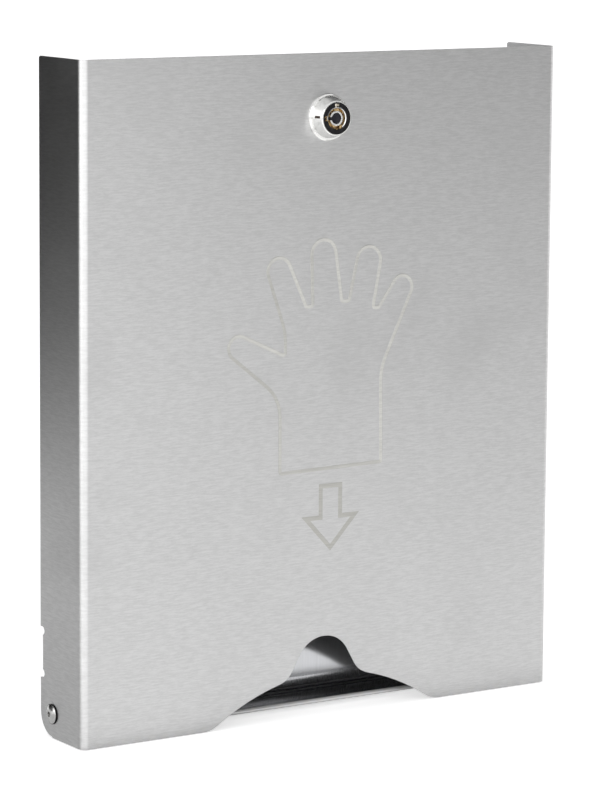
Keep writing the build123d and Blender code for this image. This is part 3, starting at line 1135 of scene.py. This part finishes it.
@dataclass
class BoreShadeDisc:
    """A dished dark disc in the hollow post's bore: painted shade for the bore's depth."""

    radius: float = 2.7 * MM
    front: float = -45.9 * MM
    length: float = 1.2 * MM
    dish: float = 0.35 * MM
    rings: Sequence[float] = (0.5 * MM, 0.9 * MM)  # widths of the dish's two steps, from its rim

    def build(self) -> None:
        """Turn the dark disc, dish its front and fasten it in the post."""
        Bench.clear()
        bpy.ops.mesh.primitive_cylinder_add(
            vertices=32,
            radius=self.radius,
            depth=self.length,
            location=(LOCK_CENTRE[0], self.front + self.length / 2, LOCK_CENTRE[2]),
            rotation=(math.pi / 2, 0.0, 0.0),
        )
        shade_disc = bpy.context.object
        shade_disc.name = "post_bore_shade"
        bpy.ops.object.transform_apply(location=True, rotation=True, scale=True)
        Bench.pick_faces(shade_disc, lambda centre, normal: normal.y < -FACING)
        for width in self.rings:
            bpy.ops.mesh.inset(thickness=width, depth=0.0)
            bpy.ops.transform.translate(value=(0.0, self.dish, 0.0))
        bpy.ops.object.mode_set(mode="OBJECT")
        Bench.settle(shade_disc)
        Bench.finish(shade_disc, BORE_SHADE, "lock_core", "lock_black")


@dataclass
class KeywayRim:
    """The bright chamfer round the keyway's mouth, open at its two notches; its brightness is partly a
    painted highlight.
    """

    radius: float = 5.25 * MM
    face: float = -47.45 * MM
    width: float = 0.42 * MM
    depth: float = 0.36 * MM
    sunk: float = 0.02 * MM
    proud: float = 0.01 * MM
    arcs: Sequence[Point] = ((192.1, 245.8), (102.1, 65.8))  # start and sweep in degrees
    step: float = 6.0

    def arc(self, start: float, sweep: float) -> bpy.types.Object:
        """Spin the chamfer's section round part of the keyway.

        Args:
            start: Angle from +X where the arc starts, in degrees.
            sweep: How far it goes towards +Z, in degrees.

        Returns:
            The closed arc.
        """
        Bench.clear()
        bpy.ops.mesh.primitive_circle_add(vertices=3, radius=self.width, fill_type="NGON")
        arc = bpy.context.object
        turn = math.radians(start)
        section = (
            (self.radius + self.sunk, self.face - self.proud),
            (self.radius + self.sunk, self.face + self.depth),
            (self.radius - self.width, self.face + self.depth),
        )
        for vertex, (reach, y) in zip(arc.data.vertices, section):
            x = LOCK_CENTRE[0] + reach * math.cos(turn)
            z = LOCK_CENTRE[2] + reach * math.sin(turn)
            vertex.co = (x, y, z)
        bpy.ops.object.mode_set(mode="EDIT")
        bpy.ops.mesh.select_all(action="SELECT")
        bpy.ops.mesh.spin(
            steps=math.ceil(sweep / self.step),
            angle=math.radians(sweep),
            center=LOCK_CENTRE,
            axis=(0.0, -1.0, 0.0),
        )
        bpy.ops.mesh.select_all(action="SELECT")
        bpy.ops.mesh.normals_make_consistent(inside=False)
        bpy.ops.object.mode_set(mode="OBJECT")
        return arc

    def build(self) -> None:
        """Join both arcs and fasten them in the sleeve."""
        arcs = [self.arc(start, sweep) for start, sweep in self.arcs]
        Bench.clear()
        for arc in arcs:
            arc.select_set(True)
        bpy.context.view_layer.objects.active = arcs[0]
        bpy.ops.object.join()
        rim = bpy.context.object
        rim.name = "keyway_rim"
        Bench.settle(rim)
        Bench.finish(rim, KEYWAY_EDGE_HIGHLIGHT, "cover", "lock_chrome")


# ---- studio ------------------------------------------------------------------------


@dataclass
class Viewpoint:
    """Where the camera stands and how it looks."""

    place: Place = (-0.923, -1.437, 0.255)
    yaw: float = 32.98
    pitch: float = 8.05
    roll: float = 0.405
    focal_pixels: float = 3543.0
    image_height: float = 800.0
    shift: float = -0.0625
    sensor: float = 36.0
    nearest: float = 0.05
    farthest: float = 60.0

    def build(self) -> None:
        """Make the camera and let the scene use it."""
        data = bpy.data.cameras.new("camera")
        data.sensor_width = self.sensor
        data.lens = self.focal_pixels / self.image_height * self.sensor
        data.shift_y = self.shift
        data.clip_start = self.nearest
        data.clip_end = self.farthest
        camera = bpy.data.objects.new("camera", data)
        bpy.context.scene.collection.objects.link(camera)
        turn = (
            Matrix.Rotation(math.radians(-self.yaw), 4, "Z")
            @ Matrix.Rotation(math.radians(90.0 - self.pitch), 4, "X")
            @ Matrix.Rotation(math.radians(self.roll), 4, "Z")
        )
        camera.matrix_world = Matrix.Translation(Vector(self.place)) @ turn
        bpy.context.scene.camera = camera


@dataclass
class Lamp:
    """A rectangular soft light that points at a target."""

    name: str
    place: Place
    size: Point
    power: float
    target: Place = (0.0, 0.0, 0.0)

    def build(self) -> None:
        """Make the light."""
        data = bpy.data.lights.new(self.name, "AREA")
        data.shape = "RECTANGLE"
        data.size, data.size_y = self.size
        data.energy = self.power
        lamp = bpy.data.objects.new(self.name, data)
        lamp.visible_camera = False
        bpy.context.scene.collection.objects.link(lamp)
        aim = Vector(self.target) - Vector(self.place)
        turn = aim.to_track_quat("-Z", "Y").to_matrix().to_4x4()
        lamp.matrix_world = Matrix.Translation(Vector(self.place)) @ turn


@dataclass
class Card:
    """A dark upright card outside the picture that the metal reflects."""

    name: str
    place: Point
    turn: float
    width: float
    low: float
    high: float
    shade: float = 0.03

    def build(self) -> None:
        """Stand the card up, unseen by the camera."""
        Bench.clear()
        bpy.ops.mesh.primitive_plane_add(
            size=1.0,
            location=(*self.place, (self.low + self.high) / 2),
            rotation=(math.pi / 2, 0.0, math.radians(self.turn)),
        )
        card = bpy.context.object
        card.name = self.name
        card.scale = (self.width, self.high - self.low, 1.0)
        card.visible_camera = False
        paint = bpy.data.materials.new(self.name)
        paint.use_nodes = True
        paint.node_tree.nodes.clear()
        graph = Graph(paint.node_tree)
        matte = graph.add("ShaderNodeBsdfDiffuse", Color=(self.shade, self.shade, self.shade))
        graph.add("ShaderNodeOutputMaterial", Surface=matte.outputs[0])
        card.data.materials.append(paint)
        Bench.settle(card)


@dataclass
class Studio:
    """A plain pale floor, soft lights and dark cards for the metal to reflect."""

    floor_level: float = -0.1605
    floor_size: float = 40.0
    floor_tones: Point = (0.80, 0.82)
    floor_glow: float = 0.62
    mirrored_glow: float = 0.60
    ambience: float = 0.68
    mirrored_shade_corner: Place = (-0.15, 0.0, -0.1605)  # painted shadow: the metal sees no glow round this corner
    mirrored_shade_reach: Point = (0.02, 0.60)
    wall_side: Point = (-0.055, -0.041)  # the glow is back from here towards the wall
    cards: Sequence[Card] = (
        Card("back_card", (-0.36, 0.33), 33.0, 0.66, -0.100, 0.90),
        Card("side_card", (0.98, -1.02), 38.0, 0.90, 0.04, 2.20),
    )
    lamps: Sequence[Lamp] = (
        Lamp("front_box", (-0.35, -1.75, 0.75), (1.3, 1.3), 6.3),
        Lamp("left_box", (-1.45, -1.0, 0.75), (1.8, 1.3), 8.8),
        Lamp("far_left_box", (-1.75, 0.15, 0.75), (1.9, 1.3), 9.6),
    )

    def backdrop(self) -> bpy.types.Material:
        """Paint the floor pale: white to the camera, and still shaded, with a painted shadow in what the
        metal sees.

        Returns:
            The floor's material.
        """
        made = bpy.data.materials.new("studio_floor")
        made.use_nodes = True
        made.node_tree.nodes.clear()
        graph = Graph(made.node_tree)
        place = graph.add("ShaderNodeTexCoord").outputs["Object"]
        cloud = graph.noise(place, 3.0, 2.0)
        dark, light = ((tone, tone, tone) for tone in self.floor_tones)
        matte = graph.add("ShaderNodeBsdfDiffuse", Color=graph.mix(cloud, dark, light))
        path = graph.add("ShaderNodeLightPath").outputs
        direct = graph.math("MULTIPLY", path["Is Camera Ray"], self.floor_glow)
        mirrored = graph.math("MAXIMUM", path["Is Glossy Ray"], path["Is Transmission Ray"])
        # painted shadow: the glow that the metal sees fades out near the dispenser's corner
        away = graph.add("ShaderNodeVectorMath", p_operation="DISTANCE", i0=place, i1=self.mirrored_shade_corner)
        far = graph.ramp(away.outputs["Value"], *self.mirrored_shade_reach, 0.0, 1.0)
        behind = graph.ramp(graph.part(place, "Y"), *self.wall_side, 1.0, 0.0)
        shaded_glow = graph.math("MULTIPLY", graph.math("MAXIMUM", far, behind), self.mirrored_glow)
        strength = graph.math("MAXIMUM", direct, graph.math("MULTIPLY", mirrored, shaded_glow))
        glow = graph.add("ShaderNodeEmission", Color=(1.0, 1.0, 1.0), Strength=strength)
        total = graph.add("ShaderNodeAddShader", i0=matte.outputs[0], i1=glow.outputs[0])
        graph.add("ShaderNodeOutputMaterial", Surface=total.outputs[0])
        return made

    def floor(self) -> None:
        """Lay the floor under the dispenser."""
        Bench.clear()
        bpy.ops.mesh.primitive_plane_add(size=self.floor_size, location=(0.0, 0.0, self.floor_level))
        floor = bpy.context.object
        floor.name = "studio_floor"
        floor.data.materials.append(self.backdrop())
        Bench.settle(floor)

    def world(self) -> None:
        """Surround the scene with plain light that is white to the camera."""
        world = bpy.data.worlds.new("studio")
        bpy.context.scene.world = world
        world.use_nodes = True
        world.node_tree.nodes.clear()
        graph = Graph(world.node_tree)
        path = graph.add("ShaderNodeLightPath").outputs
        seen = graph.math("MAXIMUM", path["Is Camera Ray"], path["Is Glossy Ray"])
        seen = graph.math("MAXIMUM", seen, path["Is Transmission Ray"])
        strength = graph.ramp(seen, 0.0, 1.0, self.ambience, 1.0)
        sky = graph.add("ShaderNodeBackground", Color=(1.0, 1.0, 1.0), Strength=strength)
        graph.add("ShaderNodeOutputWorld", Surface=sky.outputs[0])

    def build(self) -> None:
        """Set up the floor, the world and the lights."""
        self.floor()
        self.world()
        for piece in (*self.cards, *self.lamps):
            piece.build()
        settings = bpy.context.scene.view_settings
        settings.view_transform = "Standard"


# ---- the whole ---------------------------------------------------------------------


def dress_nodes(nodes: dict[str, bpy.types.Object]) -> None:
    """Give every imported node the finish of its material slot.

    Args:
        nodes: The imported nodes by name.
    """
    for name, node in sorted(nodes.items()):
        for slot in node.material_slots:
            slot.material = NODE_FINISHES[slot.material.name].material()
        if name == "lock_pins":
            node.material_slots[0].material = LOCK_BRASS.material()
        LOG.info("node %s dressed", name)


def main() -> None:
    """Load the frame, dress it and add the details."""
    logging.basicConfig(level=logging.INFO, format="%(message)s")
    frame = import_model()
    Viewpoint().build()
    Studio().build()
    dress_nodes(frame["nodes"])
    Pictogram().build()
    BoreShadeDisc().build()
    KeywayRim().build()


if __name__ == "__main__":
    main()
